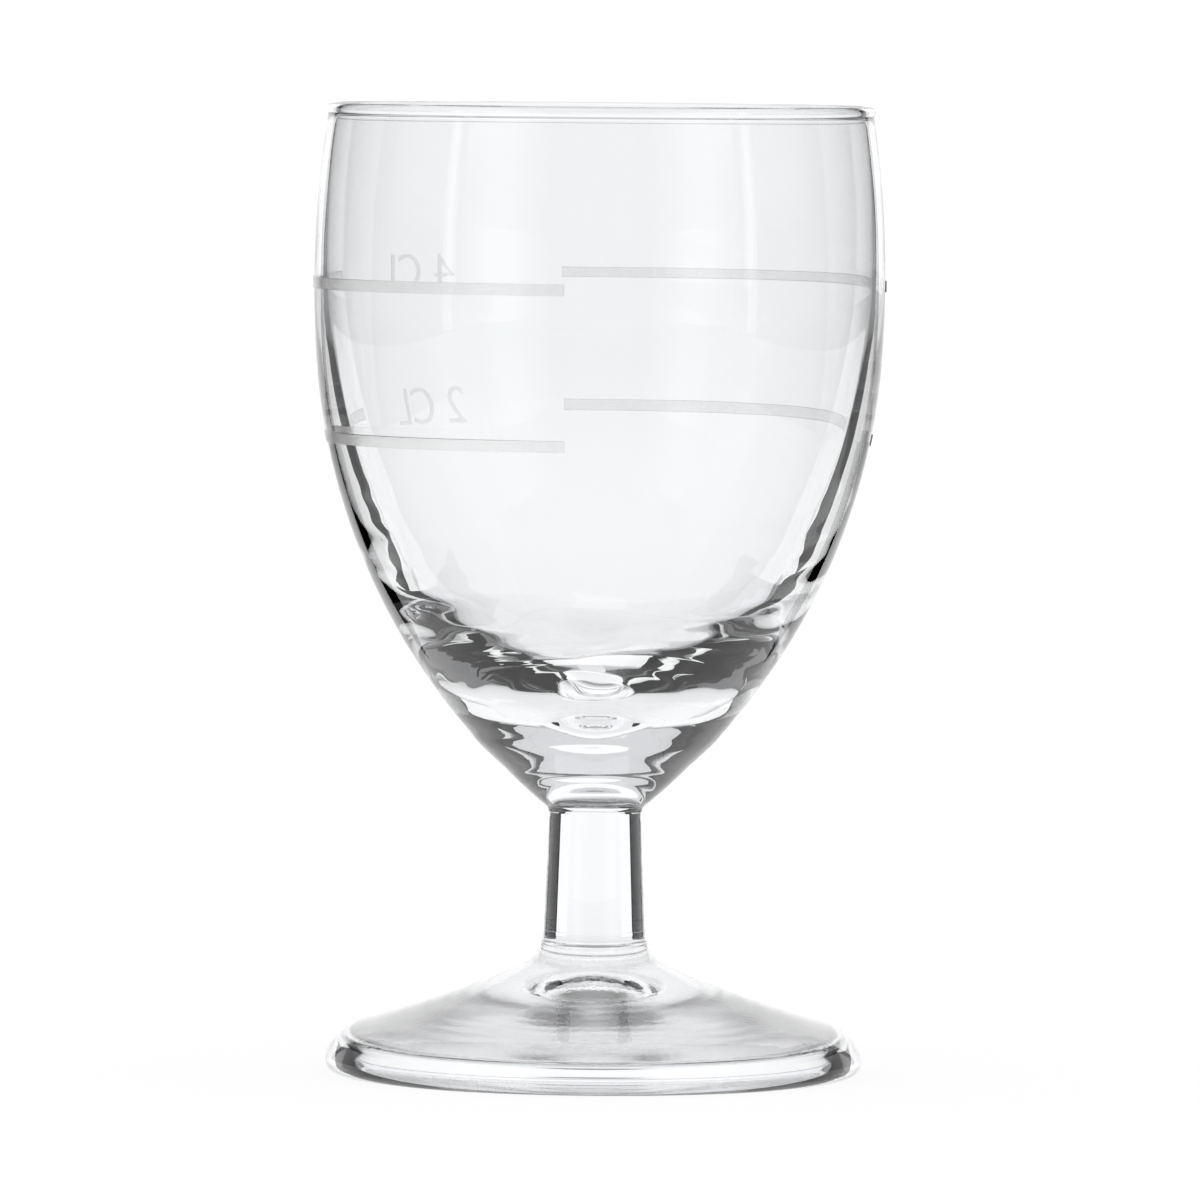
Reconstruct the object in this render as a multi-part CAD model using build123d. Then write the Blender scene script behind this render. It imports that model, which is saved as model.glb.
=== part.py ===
from build123d import *
import os
from math import acos, sqrt, tan

# A stemmed cordial glass: bowl, stem and foot in clear glass, with fill lines in fired enamel.
# Millimetres, Z up. The origin is the middle of the foot's standing ring, and -Y is the front.
# Every glass piece is turned about Z, so each outline is drawn as radius against height.

# Foot
foot_diameter = 47.0
foot_height = 12.1              # top of the boss that carries the stem
foot_edge_height = 1.15         # height of the widest place, and radius of the edge below it
foot_edge_radius = 2.4          # edge just over the widest place
foot_edge_turn = 32.0           # degrees that the outline turns round that edge
foot_shoulder_radius = 4.7      # softer curve from the edge on to the upper face
foot_slope = 15.5               # degrees that the upper face falls beside the shoulder
boss_height = 1.7               # the upper face runs up into the boss over this height
boss_land = 0.1                 # short straight side left at the top of the boss
standing_ring_width = 1.2       # ring that the glass stands on
ring_height = 2.1               # the underside is recessed this far inside the ring
ring_draft = 0.5                # how far the inside of the ring leans in over that height
ring_fillet = 0.4
recess_fillet = 0.8
hollow_depth = 2.7              # the recess rises to this height at the edge of the dome
dome_diameter = 9.6             # dome in the middle of the recess
dome_depth = 2.5
dome_fillet = 0.5

# Stem
stem_length = 10.9
stem_top_diameter = 8.0
stem_bottom_diameter = 8.9
seam_lip = 0.12                 # step that shows where the hot pieces were joined

# Bowl
bowl_height = 62.0
bowl_diameter = 50.0
bowl_widest_drop = 15.0         # from the middle of the rim bead down to the widest place
bowl_blend_drop = 6.5           # this far below it the long upper curve gives way to a rounder one
mouth_inset = 1.175             # how far the wall is drawn in at the rim, on each side
rim_bead_diameter = 1.2         # fire-polished bead on the rim
neck_length = 0.4               # short neck where the bowl sits on the stem
neck_fillet = 0.6
rim_wall = 0.85
widest_wall = 1.08
cavity_rise = 1.6               # the cavity is widest this far over the bowl's own widest place
low_wall = 2.65                 # the wall thickens downwards, and is this thick at low_wall_height
low_wall_height = 26.5          # counted from the bowl's base
base_thickness = 11.0           # solid glass under the cavity floor
dimple_diameter = 6.6           # small dimple in the cavity floor
dimple_depth = 1.2
dimple_fillet = 0.8

# Fill lines, with heights from the bowl's base and angles from the front, positive to the right
line_4cl_height = 46.3
line_2cl_height = 32.85
line_width = 1.0
enamel_thickness = 0.1
front_line_angles = (-106.0, -7.0)
back_line_angles = (88.0, 188.0)
bare_angle = 40.0               # middle of the bare place between the lines, where the bowl's seam goes

# Heights that follow from the stack of pieces
stem_top_z = foot_height + stem_length
bowl_base_z = stem_top_z
rim_z = bowl_base_z + bowl_height - rim_bead_diameter / 2


def on_circle(centre, radius, height):
    """Point on a circle's outer side at a height."""
    return Vector(centre.X + sqrt(radius ** 2 - (height - centre.Y) ** 2), height)


def tangent_circle(start, normal, through):
    """Centre and radius of the circle that leaves start square to normal and meets a point."""
    chord = through - start
    radius = -chord.dot(chord) / (2 * chord.dot(normal))
    return start - normal * radius, radius


def axis_ball(half_width, rise, top_z):
    """Disc round the axis whose top is at top_z and which is half_width wide rise below its top."""
    radius = (half_width ** 2 + rise ** 2) / (2 * rise)
    return Pos(0, top_z - radius) * Circle(radius)


def rounded(section, corner, radius):
    """Section with the corner nearest to a point rounded."""
    return fillet(section.vertices().sort_by_distance(corner)[0], radius)


def turned(section, arc=360.0):
    """Solid swept by a section of radius against height about Z."""
    return revolve(Plane.XZ * section, axis=Axis.Z, revolution_arc=arc)


# Bowl outline: a long curve through mouth and widest place, then a rounder one down to the neck
widest = Vector(bowl_diameter / 2, rim_z - bowl_widest_drop)
mouth = Vector(bowl_diameter / 2 - mouth_inset, rim_z)
upper_centre, upper_radius = tangent_circle(widest, Vector(1, 0), mouth)
blend = on_circle(upper_centre, upper_radius, widest.Y - bowl_blend_drop)
neck = Vector(stem_top_diameter / 2 + seam_lip, bowl_base_z + neck_length)
lower_centre, lower_radius = tangent_circle(blend, (blend - upper_centre).normalized(), neck)


def outer_section():
    """Outside of the bowl up to the rim bead, filled in to the axis."""
    upper_arc = TangentArc(mouth, blend, tangent=(mouth - upper_centre).rotate(Axis.Z, -90))
    lower_arc = TangentArc(blend, neck, tangent=upper_arc % 1)
    base = Polyline(neck, (neck.X, bowl_base_z), (0, bowl_base_z), (0, mouth.Y), mouth)
    return rounded(make_face([upper_arc, lower_arc, base]), neck, neck_fillet)


def cavity_section():
    """Inside of the bowl, set off from the outline by the wall at the rim, the widest place and low down."""
    top = Vector(mouth.X - rim_wall, mouth.Y)
    side = Vector(widest.X - widest_wall, widest.Y + cavity_rise)
    low = on_circle(lower_centre, lower_radius, bowl_base_z + low_wall_height) - Vector(low_wall, 0)
    centre, radius = tangent_circle(side, Vector(1, 0), low)
    floor = Vector(0, bowl_base_z + base_thickness)
    drop = centre.Y - floor.Y
    floor_radius = (radius ** 2 - centre.X ** 2 - drop ** 2) / (2 * (radius - drop))
    floor_centre = floor + Vector(0, floor_radius)
    floor_edge = centre + (floor_centre - centre).normalized() * radius
    floor_arc = TangentArc(floor, floor_edge, tangent=(1, 0))
    side_arc = TangentArc(floor_edge, side, tangent=floor_arc % 1)
    upper_arc = TangentArc(side, top, tangent=(0, 1))
    section = make_face([floor_arc, side_arc, upper_arc, Polyline(top, (0, top.Y), floor)])
    dimple_edge_z = floor_centre.Y - sqrt(floor_radius ** 2 - (dimple_diameter / 2) ** 2)
    dimple_rise = dimple_edge_z - floor.Y + dimple_depth
    dimple_radius = ((dimple_diameter / 2) ** 2 + dimple_rise ** 2) / (2 * dimple_rise)
    dimple = Pos(0, floor.Y - dimple_depth + dimple_radius) * Circle(dimple_radius)
    beyond_axis = Pos(-dimple_radius, floor.Y) * Rectangle(2 * dimple_radius, 4 * dimple_radius)
    section = section + (dimple - beyond_axis)
    return rounded(section, (dimple_diameter / 2, dimple_edge_z), dimple_fillet)


def make_bowl():
    bead = Pos(mouth.X - rim_wall / 2, rim_z) * Circle(rim_bead_diameter / 2)
    return Rot(0, 0, bare_angle - 90) * turned(outer_section() - cavity_section() + bead)


def make_stem():
    side = Polyline(
        (0, foot_height),
        (stem_bottom_diameter / 2, foot_height),
        (stem_top_diameter / 2, stem_top_z),
        (0, stem_top_z),
        close=True,
    )
    return turned(make_face(side))


def make_foot():
    foot_radius = foot_diameter / 2
    boss_radius = stem_bottom_diameter / 2 + seam_lip
    ring_outside = Vector(foot_radius - foot_edge_height, 0)
    widest_edge = Vector(foot_radius, foot_edge_height)
    flare_corner = Vector(boss_radius, foot_height - boss_height)
    under_edge = TangentArc(ring_outside, widest_edge, tangent=(1, 0))
    edge = JernArc(widest_edge, (0, 1), foot_edge_radius, foot_edge_turn)
    shoulder = JernArc(edge @ 1, edge % 1, foot_shoulder_radius, 90 - foot_edge_turn - foot_slope)
    flare = TangentArc(shoulder @ 1, flare_corner, tangent=shoulder % 1)
    core = Polyline(flare_corner, (boss_radius, foot_height), (0, foot_height), (0, 0), ring_outside)
    boss_turn = acos((flare % 1).Y)
    boss_fillet = (boss_height - boss_land) / tan(boss_turn / 2)
    section = rounded(make_face([under_edge, edge, shoulder, flare, core]), flare_corner, boss_fillet)
    ring_inside = ring_outside - Vector(standing_ring_width, 0)
    recess = ring_inside + Vector(-ring_draft, ring_height)
    dome_edge = Vector(dome_diameter / 2, hollow_depth)
    recess_side = Polyline((0, 0), ring_inside, recess, dome_edge, (0, hollow_depth), close=True)
    section = section - make_face(recess_side)
    section = section - axis_ball(dome_edge.X, dome_depth, hollow_depth + dome_depth)
    section = rounded(section, ring_inside, ring_fillet)
    section = rounded(section, recess, recess_fillet)
    return turned(rounded(section, dome_edge, dome_fillet))


def make_fill_line(height, angles):
    """Film of enamel on the bowl, from one angle round to another."""
    start, end = angles
    outside = outer_section()
    band = Pos(widest.X, bowl_base_z + height) * Rectangle(widest.X, line_width)
    film = (offset(outside, enamel_thickness) - outside) & band
    return Rot(0, 0, start - 90) * turned(film, end - start)


pieces = {
    "bowl": make_bowl(),
    "stem": make_stem(),
    "foot": make_foot(),
    "fill_line_4cl_front": make_fill_line(line_4cl_height, front_line_angles),
    "fill_line_4cl_back": make_fill_line(line_4cl_height, back_line_angles),
    "fill_line_2cl_front": make_fill_line(line_2cl_height, front_line_angles),
    "fill_line_2cl_back": make_fill_line(line_2cl_height, back_line_angles),
}

os.makedirs("parts", exist_ok=True)
for name, piece in pieces.items():
    piece.label = name
    export_step(piece, f"parts/{name}.step")
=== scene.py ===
import math

import bpy
from mathutils import Matrix, Vector


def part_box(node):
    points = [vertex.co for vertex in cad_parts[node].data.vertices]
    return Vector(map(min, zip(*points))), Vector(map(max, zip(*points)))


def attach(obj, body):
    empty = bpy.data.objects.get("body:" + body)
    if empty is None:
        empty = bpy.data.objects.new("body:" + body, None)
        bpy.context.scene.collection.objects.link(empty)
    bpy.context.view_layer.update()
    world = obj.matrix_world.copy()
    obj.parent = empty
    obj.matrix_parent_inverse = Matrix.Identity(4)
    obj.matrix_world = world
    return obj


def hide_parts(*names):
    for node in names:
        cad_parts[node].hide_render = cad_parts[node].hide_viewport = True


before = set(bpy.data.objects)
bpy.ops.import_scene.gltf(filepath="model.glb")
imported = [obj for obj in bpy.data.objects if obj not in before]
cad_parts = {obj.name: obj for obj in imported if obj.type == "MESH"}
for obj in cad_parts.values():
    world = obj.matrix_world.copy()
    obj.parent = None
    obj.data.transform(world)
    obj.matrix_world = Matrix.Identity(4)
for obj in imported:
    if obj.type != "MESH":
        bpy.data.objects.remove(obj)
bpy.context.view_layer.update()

# A stemmed cordial glass on a white table. The bowl, stem and foot were joined while hot, so they are
# modelled as one skin of glass: with a face left between them, light would break there.
MM = 0.001

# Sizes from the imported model, in millimetres
FOOT_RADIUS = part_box("foot")[1].x / MM
FOOT_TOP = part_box("foot")[1].z / MM
STEM_BOTTOM_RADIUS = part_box("stem")[1].x / MM
STEM_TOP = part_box("stem")[1].z / MM
BOWL_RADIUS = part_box("bowl")[1].x / MM
RIM_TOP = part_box("bowl")[1].z / MM

# Sizes that the boxes do not tell, in millimetres, and angles in degrees
FOOT_EDGE_HEIGHT = 1.15
FOOT_EDGE_RADIUS = 2.4
FOOT_EDGE_TURN = 32.0
SHOULDER_RADIUS = 4.7
FOOT_SLOPE = 15.5
BOSS_HEIGHT = 1.7
BOSS_LAND = 0.1
STANDING_RING = 1.2
RING_HEIGHT = 2.1
RING_DRAFT = 0.5
RING_FILLET = 0.4
RECESS_FILLET = 0.8
HOLLOW_DEPTH = 2.7
DOME_RADIUS = 4.8
DOME_DEPTH = 2.5
DOME_FILLET = 0.5
STEM_TOP_RADIUS = 4.0
SEAM_LIP = 0.12
WIDEST_DROP = 15.0
BLEND_DROP = 6.5
MOUTH_INSET = 1.175
BEAD_RADIUS = 0.6
BEAD_FILLET = 0.5
NECK_LENGTH = 0.4
NECK_FILLET = 0.6
RIM_WALL = 0.85
WIDEST_WALL = 1.08
CAVITY_RISE = 1.6
LOW_WALL = 2.65
LOW_WALL_HEIGHT = 26.5
BASE_THICKNESS = 11.0
DIMPLE_RADIUS = 3.3
DIMPLE_DEPTH = 1.2
DIMPLE_FILLET = 0.8
ROUNDING = 0.001                # left free at the rim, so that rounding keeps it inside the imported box

# Prints
ENAMEL = 0.095                  # how far the lines stand proud of the glass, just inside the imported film
ENAMEL_SUNK = 0.02              # and how far they go in, so that no gap is left under them
ENAMEL_FILLET = 0.05
FRONT_LINE = (-106.0, -7.0)     # angles from the front, positive to the right
BACK_LINE = (88.0, 188.0)
FIGURE_ANGLE = -136.6
FIGURE_HEIGHT = 3.5
FIGURE_LIFT = -0.1              # middle of the figures over the middle of their line
CAPITAL_SHARE = 0.73            # height of a capital letter in a font of size 1
FIGURE_FILM = 0.02              # the figures are printed thinner than the lines
FIGURE_SUNK = 0.01
FIGURE_THINNING = 0.04          # taken off each side of the strokes of the font
FIGURE_CUT = 0.5                # the letters are cut this fine, to follow the curve of the bowl
FIGURE_START = 1.1              # share of the bowl's radius from which the flat letters are laid on

# Waves in the thick glass of the bowl's base: heights of the part, then for each wave its depth, its length up
# the glass, how much longer it is round the glass, and its lean in degrees
INSIDE_RIPPLES = (35.0, 53.0)
OUTSIDE_RIPPLES = (23.6, 36.0)
SLOW_WAVES = (0.3, 3.6, 3.0, 0.0)
QUICK_WAVES = (0.05, 1.4, 5.0, 0.0)
OUTER_WAVES = (0.4, 2.8, 40.0, 4.0)
RIPPLE_FADE = 12.0
CALM_FROM = 39.0                # from this height on, and over the next millimetres,
CALM_OVER = 5.0                 # the waves lose this share at front and back
CALM_SHARE = 0.85
SKIN_MARGIN = 0.4               # a point this far inside the outline of the bowl belongs to the cavity

OUTLINE_STEP = 0.9      # spacing of the rings of the turned glass
FINE_STEP = 0.42        # spacing in the rippled part of the bowl
ARC_STEP = 9.0          # largest turn from one ring to the next, in degrees
TURN_STEPS = 224        # faces round the glass
SMOOTH_ANGLE = math.radians(35)


def at(r, z):
    return Vector((r, z))


def bearing(degrees):
    """Unit vector at an angle above the horizontal."""
    return at(math.cos(math.radians(degrees)), math.sin(math.radians(degrees)))


def circle_through(start, normal, point):
    """Centre and radius of the circle that leaves start square to normal and meets a point."""
    chord = point - start
    radius = -chord.dot(chord) / (2 * chord.dot(normal))
    return start - normal * radius, radius


def on_circle(centre, radius, z):
    """Point on the outer side of a circle at a height."""
    return at(centre.x + math.sqrt(radius ** 2 - (z - centre.y) ** 2), z)


def crossing(first, first_radius, second, second_radius, side=1):
    """Point where two circles cross, to the left of the line from the first to the second, or to its right."""
    gap = second - first
    along = (gap.length_squared + first_radius ** 2 - second_radius ** 2) / (2 * gap.length)
    across = side * math.sqrt(first_radius ** 2 - along ** 2)
    unit = gap.normalized()
    return first + unit * along + at(-unit.y, unit.x) * across


def towards(centre, radius, target):
    """Point on a circle in the direction of a target."""
    return centre + (target - centre).normalized() * radius


class Pen:
    """Draws an outline of radius against height in edit mode: lines are extruded and arcs are spun."""

    def __init__(self, name, start):
        bpy.ops.object.select_all(action="DESELECT")
        bpy.ops.mesh.primitive_plane_add(size=MM)
        self.piece = bpy.context.object
        self.piece.name = self.piece.data.name = name
        bpy.ops.object.mode_set(mode="EDIT")
        bpy.ops.mesh.merge(type="CENTER")
        self.tip = at(0, 0)
        self.step = OUTLINE_STEP
        self.move(start)

    def move(self, end):
        step = (end - self.tip) * MM
        bpy.ops.transform.translate(value=(step.x, 0, step.y))
        self.tip = end

    def line(self, end):
        step = (end - self.tip) * MM
        bpy.ops.mesh.extrude_vertices_move(TRANSFORM_OT_translate={"value": (step.x, 0, step.y)})
        self.tip = end

    def arc(self, centre, end):
        first, last = self.tip - centre, end - centre
        turn = math.atan2(first.x * last.y - first.y * last.x, first.dot(last))
        by_length = abs(turn) * first.length / self.step
        by_turn = abs(math.degrees(turn)) / ARC_STEP
        steps = max(2, math.ceil(max(by_length, by_turn)))
        middle = (centre.x * MM, 0, centre.y * MM)
        bpy.ops.mesh.spin(steps=steps, angle=turn, center=middle, axis=(0, 1, 0))
        self.tip = end

    def corner(self, place, after, radius):
        """Line towards a corner that is rounded, on the way to the point after it."""
        back, ahead = (self.tip - place).normalized(), (after - place).normalized()
        half = back.angle(ahead) / 2
        centre = place + (back + ahead).normalized() * (radius / math.sin(half))
        self.line(place + back * (radius / math.tan(half)))
        self.arc(centre, place + ahead * (radius / math.tan(half)))

    def turn_round(self, steps, degrees=360.0):
        """Spin the outline about the axis of the glass and close the skin."""
        bpy.ops.mesh.select_all(action="SELECT")
        bpy.ops.mesh.spin(steps=steps, angle=math.radians(degrees), center=(0, 0, 0), axis=(0, 0, 1))
        bpy.ops.mesh.select_all(action="SELECT")
        bpy.ops.mesh.remove_doubles(threshold=1e-7)
        bpy.ops.mesh.fill_holes(sides=0)
        bpy.ops.mesh.normals_make_consistent(inside=False)
        bpy.ops.object.mode_set(mode="OBJECT")
        return self.piece


# Outside of the bowl: a long curve through mouth and widest place, then a rounder one down to the neck
rim = RIM_TOP - BEAD_RADIUS - ROUNDING
widest = at(BOWL_RADIUS, rim - WIDEST_DROP)
mouth = at(BOWL_RADIUS - MOUTH_INSET, rim)
upper, upper_radius = circle_through(widest, at(1, 0), mouth)
blend = on_circle(upper, upper_radius, widest.y - BLEND_DROP)
neck = at(STEM_TOP_RADIUS + SEAM_LIP, STEM_TOP + NECK_LENGTH)
lower, lower_radius = circle_through(blend, (blend - upper).normalized(), neck)


def draw_foot(pen):
    ring_out = at(FOOT_RADIUS - FOOT_EDGE_HEIGHT, 0)
    ring_in = ring_out - at(STANDING_RING, 0)
    recess = at(ring_in.x - RING_DRAFT, RING_HEIGHT)
    dome_edge = at(DOME_RADIUS, HOLLOW_DEPTH)
    dome_radius = (DOME_RADIUS ** 2 + DOME_DEPTH ** 2) / (2 * DOME_DEPTH)
    dome = at(0, pen.tip.y - dome_radius)
    down = (recess - dome_edge).normalized()
    up = at(-down.y, down.x)
    off = dome_edge + up * DOME_FILLET - dome
    reach = math.sqrt(off.dot(down) ** 2 - off.length_squared + (dome_radius + DOME_FILLET) ** 2) - off.dot(down)
    fillet = dome + off + down * reach
    pen.arc(dome, towards(dome, dome_radius, fillet))
    pen.arc(fillet, fillet - up * DOME_FILLET)
    pen.corner(recess, ring_in, RECESS_FILLET)
    pen.corner(ring_in, ring_out, RING_FILLET)
    pen.line(ring_out)
    pen.arc(ring_out + at(0, FOOT_EDGE_HEIGHT), at(FOOT_RADIUS, FOOT_EDGE_HEIGHT))
    edge = pen.tip - at(FOOT_EDGE_RADIUS, 0)
    edge_end = edge + bearing(FOOT_EDGE_TURN) * FOOT_EDGE_RADIUS
    pen.arc(edge, edge_end)
    shoulder = edge_end - bearing(FOOT_EDGE_TURN) * SHOULDER_RADIUS
    shoulder_end = shoulder + bearing(90 - FOOT_SLOPE) * SHOULDER_RADIUS
    pen.arc(shoulder, shoulder_end)
    boss = at(STEM_BOTTOM_RADIUS + SEAM_LIP, FOOT_TOP - BOSS_HEIGHT)
    flare, flare_radius = circle_through(shoulder_end, -bearing(90 - FOOT_SLOPE), boss)
    boss_turn = math.acos((boss - flare).normalized().x * -1)
    boss_fillet = (BOSS_HEIGHT - BOSS_LAND) / math.tan(boss_turn / 2)
    side_x = boss.x + boss_fillet
    side_z = flare.y - math.sqrt((flare_radius - boss_fillet) ** 2 - (side_x - flare.x) ** 2)
    fillet = at(side_x, side_z)
    pen.arc(flare, towards(flare, flare_radius, fillet))
    pen.arc(fillet, at(boss.x, side_z))
    pen.line(at(boss.x, FOOT_TOP))


def draw_stem(pen):
    pen.line(at(STEM_BOTTOM_RADIUS, FOOT_TOP))
    pen.line(at(STEM_TOP_RADIUS, STEM_TOP))


def draw_bowl(pen):
    pen.line(at(neck.x, STEM_TOP))
    side_x = neck.x + NECK_FILLET
    side_z = lower.y - math.sqrt((lower_radius + NECK_FILLET) ** 2 - (side_x - lower.x) ** 2)
    fillet = at(side_x, side_z)
    pen.line(at(neck.x, side_z))
    pen.arc(fillet, towards(lower, lower_radius, fillet))
    pen.step = FINE_STEP
    pen.arc(lower, blend)
    pen.step = OUTLINE_STEP
    bead = at(mouth.x - RIM_WALL / 2, rim)
    out_fillet = crossing(upper, upper_radius + BEAD_FILLET, bead, BEAD_RADIUS + BEAD_FILLET, -1)
    pen.arc(upper, towards(upper, upper_radius, out_fillet))
    pen.arc(out_fillet, towards(bead, BEAD_RADIUS, out_fillet))
    pen.arc(bead, bead + at(0, BEAD_RADIUS))
    top = at(mouth.x - RIM_WALL, rim)
    side = at(widest.x - WIDEST_WALL, widest.y + CAVITY_RISE)
    inner, inner_radius = circle_through(side, at(1, 0), top)
    in_fillet = crossing(inner, inner_radius - BEAD_FILLET, bead, BEAD_RADIUS + BEAD_FILLET, -1)
    pen.arc(bead, towards(bead, BEAD_RADIUS, in_fillet))
    pen.arc(in_fillet, towards(inner, inner_radius, in_fillet))
    pen.arc(inner, side)
    low = on_circle(lower, lower_radius, STEM_TOP + LOW_WALL_HEIGHT) - at(LOW_WALL, 0)
    wall, wall_radius = circle_through(side, at(1, 0), low)
    floor = at(0, STEM_TOP + BASE_THICKNESS)
    drop = wall.y - floor.y
    ball_radius = (wall_radius ** 2 - wall.x ** 2 - drop ** 2) / (2 * (wall_radius - drop))
    ball = floor + at(0, ball_radius)
    pen.step = FINE_STEP
    pen.arc(wall, towards(wall, wall_radius, ball))
    rise = DIMPLE_DEPTH + ball_radius - math.sqrt(ball_radius ** 2 - DIMPLE_RADIUS ** 2)
    dimple_radius = (DIMPLE_RADIUS ** 2 + rise ** 2) / (2 * rise)
    dimple = floor + at(0, dimple_radius - DIMPLE_DEPTH)
    fillet = crossing(ball, ball_radius + DIMPLE_FILLET, dimple, dimple_radius + DIMPLE_FILLET)
    pen.arc(ball, towards(ball, ball_radius, fillet))
    pen.arc(fillet, towards(dimple, dimple_radius, fillet))
    pen.arc(dimple, floor - at(0, DIMPLE_DEPTH))


def outside_at(z):
    """Point on the outside of the bowl at a height."""
    if z > blend.y:
        return on_circle(upper, upper_radius, z)
    return on_circle(lower, lower_radius, z)


def ripple_weight(place, low, high, inside):
    """Share of a wave that is left at a point: waves die out towards the ends of their part."""
    z = place.z / MM
    if not inside:
        return min(1.0, min(z - low, high - z) / (RIPPLE_FADE / 2))
    # Higher up the waves are left at the two sides only
    around = place.xy.length
    facing = 1 - (place.x / around) ** 2 if around > 0 else 1.0
    calm = min(1.0, max(0.0, (z - CALM_FROM) / CALM_OVER)) * facing
    return min(1.0, (high - z) / RIPPLE_FADE) * (1 - CALM_SHARE * calm)


def ripple(body, name, heights, inside, wave):
    """Waves left in the glass where it was gathered and blown, longer round the glass than up it."""
    low, high = heights
    depth, length, stretch, lean = wave
    group = body.vertex_groups.new(name=name)
    for vertex in body.data.vertices:
        z = vertex.co.z / MM
        if low < z < high:
            within = vertex.co.xy.length / MM < outside_at(z).x - SKIN_MARGIN
            if within == inside:
                group.add([vertex.index], ripple_weight(vertex.co, low, high, inside), "REPLACE")
    clouds = bpy.data.textures.new(name, "CLOUDS")
    clouds.noise_scale = length * MM
    clouds.noise_depth = 1
    bpy.ops.object.empty_add()
    frame_of = bpy.context.object
    frame_of.scale = (stretch, stretch, 1)
    frame_of.rotation_euler.x = math.radians(lean)
    bpy.ops.object.select_all(action="DESELECT")
    body.select_set(True)
    bpy.context.view_layer.objects.active = body
    waves = body.modifiers.new(name, "DISPLACE")
    waves.texture = clouds
    waves.texture_coords = "OBJECT"
    waves.texture_coords_object = frame_of
    waves.vertex_group = group.name
    waves.strength = depth * MM
    bpy.context.view_layer.update()
    bpy.ops.object.modifier_apply(modifier=waves.name)
    bpy.data.objects.remove(frame_of)


def make_glass():
    pen = Pen("glass_body", at(0, HOLLOW_DEPTH + DOME_DEPTH))
    draw_foot(pen)
    draw_stem(pen)
    draw_bowl(pen)
    body = pen.turn_round(TURN_STEPS)
    ripple(body, "slow_waves", INSIDE_RIPPLES, True, SLOW_WAVES)
    ripple(body, "quick_waves", INSIDE_RIPPLES, True, QUICK_WAVES)
    ripple(body, "outer_waves", OUTSIDE_RIPPLES, False, OUTER_WAVES)
    body.vertex_groups.clear()
    bpy.ops.object.shade_smooth_by_angle(angle=SMOOTH_ANGLE)
    return body


def make_line(node, angles):
    """Film of enamel round part of the bowl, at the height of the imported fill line."""
    low, high = (outside_at(corner.z / MM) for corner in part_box(node))
    along = (high - low).normalized()
    out = at(along.y, -along.x)
    start, end = angles
    pen = Pen("print_" + node, low - out * ENAMEL_SUNK)
    pen.corner(low + out * ENAMEL, high + out * ENAMEL, ENAMEL_FILLET)
    pen.corner(high + out * ENAMEL, high - out * ENAMEL_SUNK, ENAMEL_FILLET)
    pen.line(high - out * ENAMEL_SUNK)
    pen.line(low - out * ENAMEL_SUNK)
    film = pen.turn_round(math.ceil((end - start) / 360 * TURN_STEPS), start - end)
    film.rotation_euler.z = math.radians(start - 90)
    bpy.ops.object.transform_apply()
    bpy.ops.object.shade_smooth_by_angle(angle=SMOOTH_ANGLE)
    return film


def make_figures(name, words, node, body):
    """Volume figures that read from outside, laid on to the bowl in the gap of their line."""
    middle = sum((corner.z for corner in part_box(node)), 0.0) / 2 + FIGURE_LIFT * MM
    turned = Matrix.Rotation(math.radians(FIGURE_ANGLE), 4, "Z")
    bpy.ops.object.select_all(action="DESELECT")
    bpy.ops.object.text_add(rotation=(math.pi / 2, 0, math.radians(FIGURE_ANGLE)))
    figures = bpy.context.object
    figures.name = name
    figures.location = turned @ Vector((0, -BOWL_RADIUS * MM * FIGURE_START, middle))
    figures.data.body = words
    figures.data.align_x = figures.data.align_y = "CENTER"
    figures.data.size = FIGURE_HEIGHT / CAPITAL_SHARE * MM
    figures.data.offset = -FIGURE_THINNING * MM
    bpy.ops.object.convert(target="MESH")
    bpy.ops.object.mode_set(mode="EDIT")
    steps = math.ceil(2 * FIGURE_HEIGHT / FIGURE_CUT)
    for step in range(-steps, steps + 1):
        for across in ((1, 0, 0), (0, 1, 0)):
            bpy.ops.mesh.select_all(action="SELECT")
            cut = figures.matrix_world @ (Vector(across) * step * FIGURE_CUT * MM)
            facing = figures.matrix_world.to_3x3() @ Vector(across)
            bpy.ops.mesh.bisect(plane_co=cut, plane_no=facing)
    bpy.ops.object.mode_set(mode="OBJECT")
    wrap = figures.modifiers.new("wrap", "SHRINKWRAP")
    wrap.target = body
    wrap.wrap_method = "PROJECT"
    wrap.use_project_z = True
    wrap.use_positive_direction = False
    wrap.use_negative_direction = True
    film = figures.modifiers.new("film", "SOLIDIFY")
    film.thickness = (FIGURE_FILM + FIGURE_SUNK) * MM
    film.offset = (FIGURE_FILM - FIGURE_SUNK) / (FIGURE_FILM + FIGURE_SUNK)
    bpy.context.view_layer.update()
    bpy.ops.object.modifier_apply(modifier=wrap.name)
    bpy.ops.object.modifier_apply(modifier=film.name)
    bpy.ops.object.transform_apply()
    bpy.ops.object.mode_set(mode="EDIT")
    bpy.ops.mesh.select_all(action="SELECT")
    bpy.ops.mesh.normals_make_consistent(inside=False)
    bpy.ops.object.mode_set(mode="OBJECT")
    bpy.ops.object.shade_flat()
    return figures


def linear(hex_colour):
    """Linear colour of an sRGB hex value."""
    channels = [int(hex_colour[i:i + 2], 16) / 255 for i in (1, 3, 5)]
    return [c / 12.92 if c <= 0.04045 else ((c + 0.055) / 1.055) ** 2.4 for c in channels] + [1.0]


def add_node(tree, kind, sockets, **settings):
    """Add a node with its settings, and fill its sockets with values or with links."""
    made = tree.nodes.new(kind)
    for name, value in settings.items():
        setattr(made, name, value)
    for name, value in sockets.items():
        if isinstance(value, bpy.types.NodeSocket):
            tree.links.new(value, made.inputs[name])
        else:
            made.inputs[name].default_value = value
    return made


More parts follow.
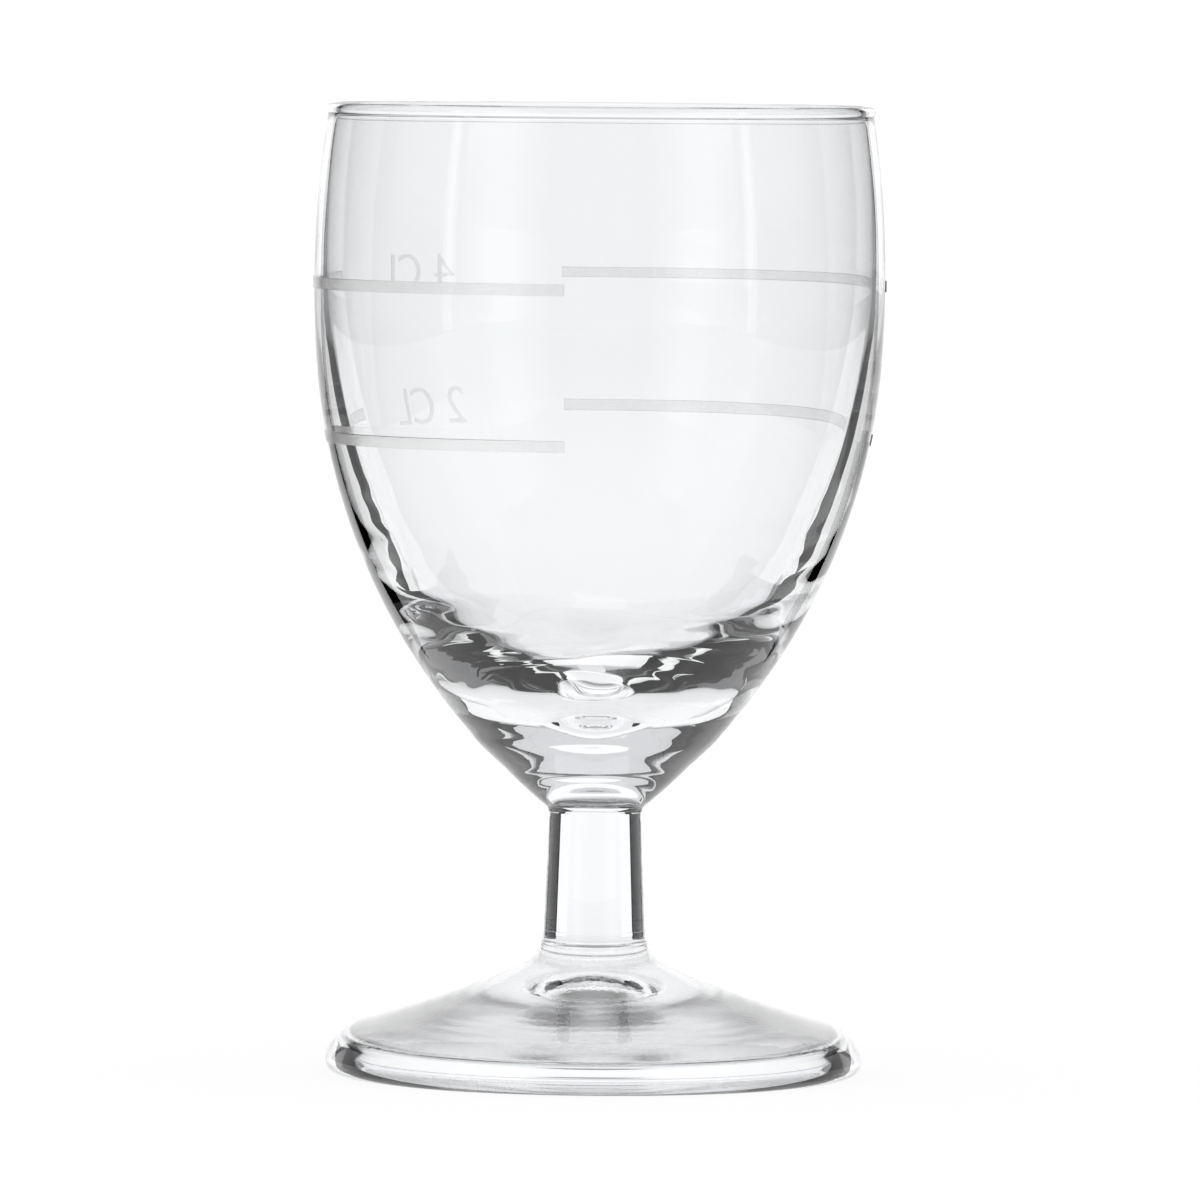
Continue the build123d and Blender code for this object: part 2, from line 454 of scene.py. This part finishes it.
def new_tree(name):
    """Material with an empty node tree."""
    material = bpy.data.materials.new(name)
    material.use_nodes = True
    material.node_tree.nodes.clear()
    return material, material.node_tree


# Finishes: sizes in millimetres of what marks the glass and the print
GLASS_IOR = 1.52
ENAMEL_IOR = 1.5
WAVE_LENGTH = 9.0
WAVE_DEPTH = 0.02
SCUFF_HEIGHT = 0.03     # the glass is scuffed up to this height over the table
SCUFF_GRAIN = 0.4
SATIN_GRAIN = 0.5
MOULD_RINGS = 1.9       # spacing of the turned rings
MOULD_RING_DEPTH = 0.016
PEEL_GRAIN = 0.5
PEEL_DEPTH = 0.02
PRINT_GRAIN = 0.35
PRINT_DEPTH = 0.02


def clear_glass():
    """Fire-polished glass: clear, with a slow waviness, and scuffed to a satin where it stands."""
    material, tree = new_tree("soda_lime_glass")
    place = add_node(tree, "ShaderNodeTexCoord", {}).outputs["Object"]
    waves = add_node(tree, "ShaderNodeTexNoise", {"Vector": place, "Scale": 1 / (WAVE_LENGTH * MM), "Detail": 1.0})
    bent = add_node(tree, "ShaderNodeBump", {
        "Height": waves.outputs["Fac"], "Strength": 1.0, "Distance": WAVE_DEPTH * MM,
    })
    height = add_node(tree, "ShaderNodeSeparateXYZ", {"Vector": place}).outputs["Z"]
    stands = add_node(tree, "ShaderNodeMath", {0: height, 1: SCUFF_HEIGHT * MM}, operation="LESS_THAN")
    scuffs = add_node(tree, "ShaderNodeTexNoise", {"Vector": place, "Scale": 1 / (SCUFF_GRAIN * MM), "Detail": 4.0})
    worn = add_node(tree, "ShaderNodeMath", {0: stands.outputs[0], 1: scuffs.outputs["Fac"]}, operation="MULTIPLY")
    surface = add_node(tree, "ShaderNodeBsdfPrincipled", {
        "Base Color": linear("#FDFEFF"),
        "Roughness": worn.outputs[0],
        "IOR": GLASS_IOR,
        "Transmission Weight": 1.0,
        "Normal": bent.outputs["Normal"],
    })
    add_node(tree, "ShaderNodeOutputMaterial", {"Surface": surface.outputs["BSDF"]})
    return material


def pressed_glass():
    """Underside as it left the mould: a soft satin with broad turned rings, which blurs what lies behind it."""
    material, tree = new_tree("pressed_soda_lime_glass")
    place = add_node(tree, "ShaderNodeTexCoord", {}).outputs["Object"]
    grain = add_node(tree, "ShaderNodeTexNoise", {"Vector": place, "Scale": 1 / (SATIN_GRAIN * MM), "Detail": 3.0})
    satin = add_node(tree, "ShaderNodeMapRange", {"Value": grain.outputs["Fac"], "To Min": 0.14, "To Max": 0.3})
    rings = add_node(tree, "ShaderNodeTexWave", {
        "Vector": place, "Scale": 2 * math.pi / (20 * MOULD_RINGS * MM), "Distortion": 4.0, "Detail": 2.0,
    }, wave_type="RINGS", rings_direction="Z")
    both = add_node(tree, "ShaderNodeMath", {0: rings.outputs["Fac"], 1: grain.outputs["Fac"]}, operation="ADD")
    bent = add_node(tree, "ShaderNodeBump", {
        "Height": both.outputs[0], "Strength": 1.0, "Distance": MOULD_RING_DEPTH * MM,
    })
    surface = add_node(tree, "ShaderNodeBsdfPrincipled", {
        "Base Color": linear("#FCFDFF"),
        "Roughness": satin.outputs["Result"],
        "IOR": GLASS_IOR,
        "Transmission Weight": 1.0,
        "Normal": bent.outputs["Normal"],
    })
    add_node(tree, "ShaderNodeOutputMaterial", {"Surface": surface.outputs["BSDF"]})
    return material


def moulded_glass():
    """Upper face of the foot: as clear as the rest, but with the fine orange peel of the mould, which
    softens what it mirrors. The peel is drawn a little coarser than the real one, to hold at this size."""
    material, tree = new_tree("moulded_soda_lime_glass")
    place = add_node(tree, "ShaderNodeTexCoord", {}).outputs["Object"]
    peel = add_node(tree, "ShaderNodeTexNoise", {"Vector": place, "Scale": 1 / (PEEL_GRAIN * MM), "Detail": 2.0})
    bent = add_node(tree, "ShaderNodeBump", {
        "Height": peel.outputs["Fac"], "Strength": 1.0, "Distance": PEEL_DEPTH * MM,
    })
    surface = add_node(tree, "ShaderNodeBsdfPrincipled", {
        "Base Color": linear("#FDFEFF"),
        "Roughness": 0.0,
        "IOR": GLASS_IOR,
        "Transmission Weight": 1.0,
        "Normal": bent.outputs["Normal"],
    })
    add_node(tree, "ShaderNodeOutputMaterial", {"Surface": surface.outputs["BSDF"]})
    return material


def fired_enamel():
    """Pale grey print: a dry, slightly grainy satin, so thin that most of the light behind it comes through."""
    material, tree = new_tree("fired_enamel")
    place = add_node(tree, "ShaderNodeTexCoord", {}).outputs["Object"]
    grain = add_node(tree, "ShaderNodeTexNoise", {"Vector": place, "Scale": 1 / (PRINT_GRAIN * MM), "Detail": 3.0})
    shade = add_node(tree, "ShaderNodeMapRange", {"Value": grain.outputs["Fac"], "To Min": 0.92, "To Max": 1.06})
    colour = add_node(tree, "ShaderNodeHueSaturation", {
        "Color": linear("#FEFDFC"), "Value": shade.outputs["Result"],
    })
    rough = add_node(tree, "ShaderNodeMapRange", {"Value": grain.outputs["Fac"], "To Min": 0.12, "To Max": 0.25})
    bent = add_node(tree, "ShaderNodeBump", {
        "Height": grain.outputs["Fac"], "Strength": 0.6, "Distance": PRINT_DEPTH * MM,
    })
    surface = add_node(tree, "ShaderNodeBsdfPrincipled", {
        "Base Color": colour.outputs["Color"],
        "Roughness": rough.outputs["Result"],
        "IOR": ENAMEL_IOR,
        "Transmission Weight": 0.97,
        "Normal": bent.outputs["Normal"],
    })
    add_node(tree, "ShaderNodeOutputMaterial", {"Surface": surface.outputs["BSDF"]})
    return material


# Camera: the lens and the place follow from the photo's own perspective
CAMERA_PLACE = Vector((0.258, -1090.0, 95.0)) * MM
CAMERA_AIM = Vector((0.258, 0.0, 41.6)) * MM
CAMERA_ROLL = 0.5
LENS = 373.7

look = (CAMERA_AIM - CAMERA_PLACE).to_track_quat("-Z", "Y").to_matrix()
turn = look @ Matrix.Rotation(math.radians(CAMERA_ROLL), 3, "Z")
bpy.ops.object.camera_add(location=CAMERA_PLACE, rotation=turn.to_euler())
camera = bpy.context.object
camera.data.lens = LENS
camera.data.sensor_width = 36.0
camera.data.clip_start = 0.1
camera.data.clip_end = 20.0
bpy.context.scene.camera = camera
bpy.context.view_layer.update()

# Glass: clear, with a satin recess under the foot and the mould's orange peel on the foot's upper face
SATIN_FROM = DOME_RADIUS + 0.3          # radii of the satin part of the underside
SATIN_TO = FOOT_RADIUS - 4.2
UNDERSIDE_TOP = 8.0                     # faces over this height are no part of the underside
MOULDED_FROM = 3.0                      # the moulded face starts at this height and ends at the boss
FACES_DOWN = -0.8                       # how far a face has to look down or up, from -1 to 1
FACES_UP = 0.3

glass_body = make_glass()
glass_body.data.materials.append(clear_glass())
glass_body.data.materials.append(pressed_glass())
glass_body.data.materials.append(moulded_glass())
for face in glass_body.data.polygons:
    r, z = face.center.xy.length / MM, face.center.z / MM
    if face.normal.z < FACES_DOWN and SATIN_FROM < r < SATIN_TO and z < UNDERSIDE_TOP:
        face.material_index = 1
    elif face.normal.z > FACES_UP and MOULDED_FROM < z < FOOT_TOP - BOSS_HEIGHT:
        face.material_index = 2
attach(glass_body, "root")
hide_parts("bowl", "stem", "foot")

enamel = fired_enamel()
prints = {
    "fill_line_4cl_front": FRONT_LINE,
    "fill_line_4cl_back": BACK_LINE,
    "fill_line_2cl_front": FRONT_LINE,
    "fill_line_2cl_back": BACK_LINE,
}
for node, angles in prints.items():
    film = make_line(node, angles)
    film.data.materials.append(enamel)
    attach(film, "root")
    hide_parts(node)
for name, words, node in (
    ("figures_4cl", "4 CL", "fill_line_4cl_front"),
    ("figures_2cl", "2 CL", "fill_line_2cl_front"),
):
    figures = make_figures(name, words, node, glass_body)
    figures.data.materials.append(enamel)
    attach(figures, "root")

# Studio: the light tent turns with the camera, so that the glass shows the same dark edges from every side.
# Its lengths are in metres, and its angles in degrees from straight behind the glass, positive to the right.
CARD_WHITE = linear("#FBFBFD")
PURE_WHITE = linear("#FFFFFF")
BLACK = 0.004                   # glow of a black card
FLOOR_GLOW = 0.04               # glow of the dark room in front
STRIP_LIFT = 0.0003             # sheets that lie on each other are kept apart by these heights
DIM_LIFT = 0.0002
FADE_LIFT = 0.0001
SIDES = (("left", -1), ("right", 1))

bpy.ops.object.empty_add()
tent = bpy.context.object
tent.name = "tent_turntable"
follow = tent.constraints.new("LOCKED_TRACK")
follow.target = camera
follow.track_axis = "TRACK_NEGATIVE_Y"
follow.lock_axis = "LOCK_Z"


def glow(name, colour, strength):
    """Material of an even card: the eye sees it only in and through the glass."""
    material, tree = new_tree(name)
    light = add_node(tree, "ShaderNodeEmission", {"Color": colour, "Strength": strength})
    add_node(tree, "ShaderNodeOutputMaterial", {"Surface": light.outputs["Emission"]})
    return material


def hang(made, light):
    """Stage piece that goes round with the tent, and that the camera does not see."""
    made.data.materials.append(light)
    made.visible_camera = False
    made.visible_diffuse = False
    made.visible_shadow = False
    made.parent = tent
    return made


def start_card(name, place):
    """Single point in edit mode, from which a card is drawn."""
    bpy.ops.object.select_all(action="DESELECT")
    bpy.ops.mesh.primitive_plane_add(size=MM)
    made = bpy.context.object
    made.name = name
    bpy.ops.object.mode_set(mode="EDIT")
    bpy.ops.mesh.merge(type="CENTER")
    bpy.ops.transform.translate(value=place)
    return made


def sweep_card(steps, turn, along):
    """Draw the point out into a line, and turn that line about the axis of the glass."""
    bpy.ops.mesh.extrude_vertices_move(TRANSFORM_OT_translate={"value": along})
    bpy.ops.mesh.select_all(action="SELECT")
    bpy.ops.mesh.spin(steps=steps, angle=turn, center=(0, 0, 0), axis=(0, 0, 1))
    bpy.ops.object.mode_set(mode="OBJECT")


def panel(name, start, end, low, high, distance, strength):
    """Curved panel round the glass, between two angles and two heights."""
    first = math.radians(90 - start)
    made = start_card(name, (math.cos(first) * distance, math.sin(first) * distance, low))
    sweep_card(24, math.radians(end - start), (0, 0, high - low))
    return hang(made, glow(name, CARD_WHITE, strength))


def sheet(name, width, depth, place):
    """Flat sheet that lies level."""
    bpy.ops.object.select_all(action="DESELECT")
    bpy.ops.mesh.primitive_plane_add(size=1.0, location=place)
    made = bpy.context.object
    made.name = name
    made.scale = (width, depth, 1)
    bpy.ops.object.transform_apply()
    return made


def flag(name, x, front, back, low, high, strength):
    """Card that stands beside the glass, along the line of sight."""
    bpy.ops.object.select_all(action="DESELECT")
    bpy.ops.mesh.primitive_plane_add(size=1.0, rotation=(0, math.pi / 2, 0))
    made = bpy.context.object
    made.name = name
    made.location = (x, (back + front) / 2, (low + high) / 2)
    made.scale = (high - low, back - front, 1)
    bpy.ops.object.transform_apply()
    return hang(made, glow(name, CARD_WHITE, strength))


def floor_strip(name, side, near, far, front, back, cuts):
    """Black strip of floor on one side. Each cut is a point and the direction in which the strip is taken away."""
    made = sheet(name, far - near, back - front, (side * (near + far) / 2, (front + back) / 2, STRIP_LIFT))
    bpy.ops.object.mode_set(mode="EDIT")
    for (x, y), (across, along) in cuts:
        bpy.ops.mesh.select_all(action="SELECT")
        bpy.ops.mesh.bisect(plane_co=(side * x, y, 0), plane_no=(side * across, along, 0), clear_outer=True)
    bpy.ops.object.mode_set(mode="OBJECT")
    return hang(made, glow(name, CARD_WHITE, BLACK))


# Cuts of the floor strips: the one beside the stem ends at a line of sight through the stem, and the one that
# runs off to the back lies between two lines that open out from the foot
stem_sight = math.radians(38)
STEM_CUT = ((0, 0.0055), (-math.cos(stem_sight), math.sin(stem_sight)))
WEDGE_CUTS = (((0.0294, 0), (-1, 0.461)), ((0.0313, 0), (1, -0.711)))

for side, x in SIDES:
    # Low cards and strips of floor that draw the dark edges of the stem, and that nothing mirrors
    edge = flag("flag_" + side, x * 0.045, front=-0.008, back=0.063, low=0, high=0.0165, strength=BLACK)
    edge.visible_glossy = False
    flag("wall_" + side, x * 0.237, front=-0.12, back=0.43, low=0, high=0.31, strength=0.02)
    strip = floor_strip("floor_" + side, x, near=0.028, far=0.0455, front=-0.008, back=0.07, cuts=(STEM_CUT,))
    strip.visible_glossy = False
    # A strip that draws the thin dark line inside the bowl's wall, and a low light for the stem
    floor_strip("wedge_" + side, x, near=0.059, far=0.236, front=0.065, back=0.45, cuts=WEDGE_CUTS)
    panel("stem_light_" + side, x * 22, x * 35.4, low=0, high=0.016, distance=0.07, strength=1.1)
    flag("wall_front_" + side, x * 0.236, front=-0.12, back=0.0, low=0.09, high=0.31, strength=0.2)
    # Light that is only mirrored, and not seen through the glass
    mirrored = flag("side_glow_" + side, x * 0.232, front=0.042, back=0.335, low=0, high=0.13, strength=0.62)
    mirrored.visible_transmission = False
panel("room_front", 119, 241, low=-0.9, high=1.1, distance=0.95, strength=FLOOR_GLOW)
panel("high_backdrop", -40, 40, low=0.5, high=1.25, distance=1.2, strength=0.75)
for step in range(4):
    # Each softbox is brightest in the middle: narrower sheets stand in front of wider ones. Its top is
    # only mirrored, and not seen through the glass.
    inset, distance, strength = step * 4.5, 0.9 - step * 0.02, 0.2 * (step + 1)
    for side, x in SIDES:
        start, end = x * (119 + inset), x * (158 - inset)
        panel(f"softbox_{side}_{step}", start, end, -0.2, 0.5, distance, strength)
        top = panel(f"softbox_top_{side}_{step}", start, end, 0.5, 0.8, distance, strength)
        top.visible_transmission = False


def acrylic_painted_light_and_shade():
    """Table of white acrylic with light under it, plain white to the eye. Its glow carries painted shadow and
    light:
    a painted shadow where the dome of the foot looks at it, painted light brightest under the rest of the foot,
    painted shade far out to the sides, and a little painted light again at its far end, where it meets the white
    behind it."""
    material, tree = new_tree("white_acrylic_painted_light_and_shade")
    place = add_node(tree, "ShaderNodeTexCoord", {}).outputs["Object"]
    # Painted shadow: the glow is darkened round a point a little behind the axis, under the dome of the foot
    behind = add_node(tree, "ShaderNodeVectorMath", {0: place, 1: (0, 5 * MM, 0)}, operation="SUBTRACT")
    from_dome = add_node(tree, "ShaderNodeVectorMath", {0: behind.outputs["Vector"]}, operation="LENGTH")
    dome_painted_shadow = add_node(tree, "ShaderNodeMapRange", {
        "Value": from_dome.outputs["Value"], "From Min": 3 * MM, "From Max": 7 * MM, "To Min": 0.3, "To Max": 1.05,
    }, interpolation_type="SMOOTHSTEP")
    # Painted light: the glow is brighter under the foot than on the open table round it
    away = add_node(tree, "ShaderNodeVectorMath", {0: place}, operation="LENGTH")
    foot_painted_light = add_node(tree, "ShaderNodeMapRange", {
        "Value": away.outputs["Value"], "From Min": 20 * MM, "From Max": 24 * MM, "To Min": 1.0, "To Max": 0.84,
    }, interpolation_type="SMOOTHSTEP")
    parts = add_node(tree, "ShaderNodeSeparateXYZ", {"Vector": place}).outputs
    aside = add_node(tree, "ShaderNodeMath", {0: parts["X"]}, operation="ABSOLUTE")
    # Painted shade: the glow dims far out to the sides
    sides_painted_shade = add_node(tree, "ShaderNodeMapRange", {
        "Value": aside.outputs[0], "From Min": 90 * MM, "From Max": 230 * MM, "To Min": 1.0, "To Max": 0.57,
    }, interpolation_type="SMOOTHSTEP")
    # Painted light: the glow brightens a little towards the far end
    far_end_painted_light = add_node(tree, "ShaderNodeMapRange", {
        "Value": parts["Y"], "From Min": 0.2, "From Max": 0.64, "To Min": 1.0, "To Max": 1.055,
    })
    strength = dome_painted_shadow.outputs["Result"]
    for share in (foot_painted_light, sides_painted_shade, far_end_painted_light):
        dimmed = add_node(tree, "ShaderNodeMath", {0: strength, 1: share.outputs["Result"]}, operation="MULTIPLY")
        strength = dimmed.outputs[0]
    light = add_node(tree, "ShaderNodeEmission", {"Color": PURE_WHITE, "Strength": strength})
    acrylic = add_node(tree, "ShaderNodeBsdfDiffuse", {"Color": linear("#616161")})
    both = add_node(tree, "ShaderNodeAddShader", {0: light.outputs[0], 1: acrylic.outputs[0]})
    add_node(tree, "ShaderNodeOutputMaterial", {"Surface": both.outputs[0]})
    return material


# Table whose glow carries painted shadow and painted light round the foot
table = sheet("white_table", 1.3, 0.78, (0, 0.26, 0))
table.parent = tent
table.data.materials.append(acrylic_painted_light_and_shade())

front_floor = sheet("dark_front_floor", 1.3, 0.9, (0, -0.58, 0))
hang(front_floor, glow(front_floor.name, CARD_WHITE, FLOOR_GLOW))

# The lit table fades into the dark front floor, so that the bowl mirrors no hard edge
fade_floor = sheet("fading_front_floor", 1.3, 0.14, (0, -0.14, FADE_LIFT))
fade_light, tree = new_tree(fade_floor.name)
place = add_node(tree, "ShaderNodeTexCoord", {}).outputs["Object"]
depth = add_node(tree, "ShaderNodeSeparateXYZ", {"Vector": place}).outputs["Y"]
faded = add_node(tree, "ShaderNodeMapRange", {
    "Value": depth, "From Min": -0.21, "From Max": -0.07, "To Min": FLOOR_GLOW, "To Max": 0.98,
}, interpolation_type="SMOOTHSTEP")
light = add_node(tree, "ShaderNodeEmission", {"Color": CARD_WHITE, "Strength": faded.outputs["Result"]})
add_node(tree, "ShaderNodeOutputMaterial", {"Surface": light.outputs["Emission"]})
hang(fade_floor, fade_light)

ceiling = sheet("dark_ceiling", 2.4, 1.95, (0, -0.025, 1.0))
hang(ceiling, glow(ceiling.name, CARD_WHITE, 0.16))
for side, x in SIDES:
    dark_side = sheet("dark_ceiling_" + side, 0.9, 0.95, (x * 0.75, 0.475, 0.99))
    hang(dark_side, glow(dark_side.name, CARD_WHITE, 0.05))
overhead = sheet("overhead_light", 0.34, 0.34, (0, 0, 0.98))
hang(overhead, glow(overhead.name, CARD_WHITE, 0.95))

# Painted shade: the base of the bowl sees the table round the foot a little dimmer than it is
DIM_INSIDE, DIM_OUTSIDE = 0.026, 0.13
dim_ring = start_card("dim_table_ring", (DIM_INSIDE, 0, DIM_LIFT))
sweep_card(48, 2 * math.pi, (DIM_OUTSIDE - DIM_INSIDE, 0, 0))
dim_light, tree = new_tree(dim_ring.name)
place = add_node(tree, "ShaderNodeTexCoord", {}).outputs["Object"]
away = add_node(tree, "ShaderNodeVectorMath", {0: place}, operation="LENGTH").outputs["Value"]
dimmed = add_node(tree, "ShaderNodeMapRange", {
    "Value": away, "From Min": DIM_INSIDE, "From Max": DIM_OUTSIDE, "To Min": 0.86, "To Max": 0.98,
}, interpolation_type="SMOOTHSTEP")
light = add_node(tree, "ShaderNodeEmission", {"Color": PURE_WHITE, "Strength": dimmed.outputs["Result"]})
add_node(tree, "ShaderNodeOutputMaterial", {"Surface": light.outputs["Emission"]})
hang(dim_ring, dim_light)
dim_ring.visible_glossy = False

world = bpy.data.worlds.new("white_studio")
bpy.context.scene.world = world
world.use_nodes = True
world.node_tree.nodes.clear()
sky = add_node(world.node_tree, "ShaderNodeBackground", {"Color": PURE_WHITE, "Strength": 1.06})
add_node(world.node_tree, "ShaderNodeOutputWorld", {"Surface": sky.outputs[0]})

scene = bpy.context.scene
scene.view_settings.view_transform = "Standard"
scene.cycles.max_bounces = 24
scene.cycles.transmission_bounces = 24
scene.cycles.glossy_bounces = 12
scene.cycles.use_denoising = True
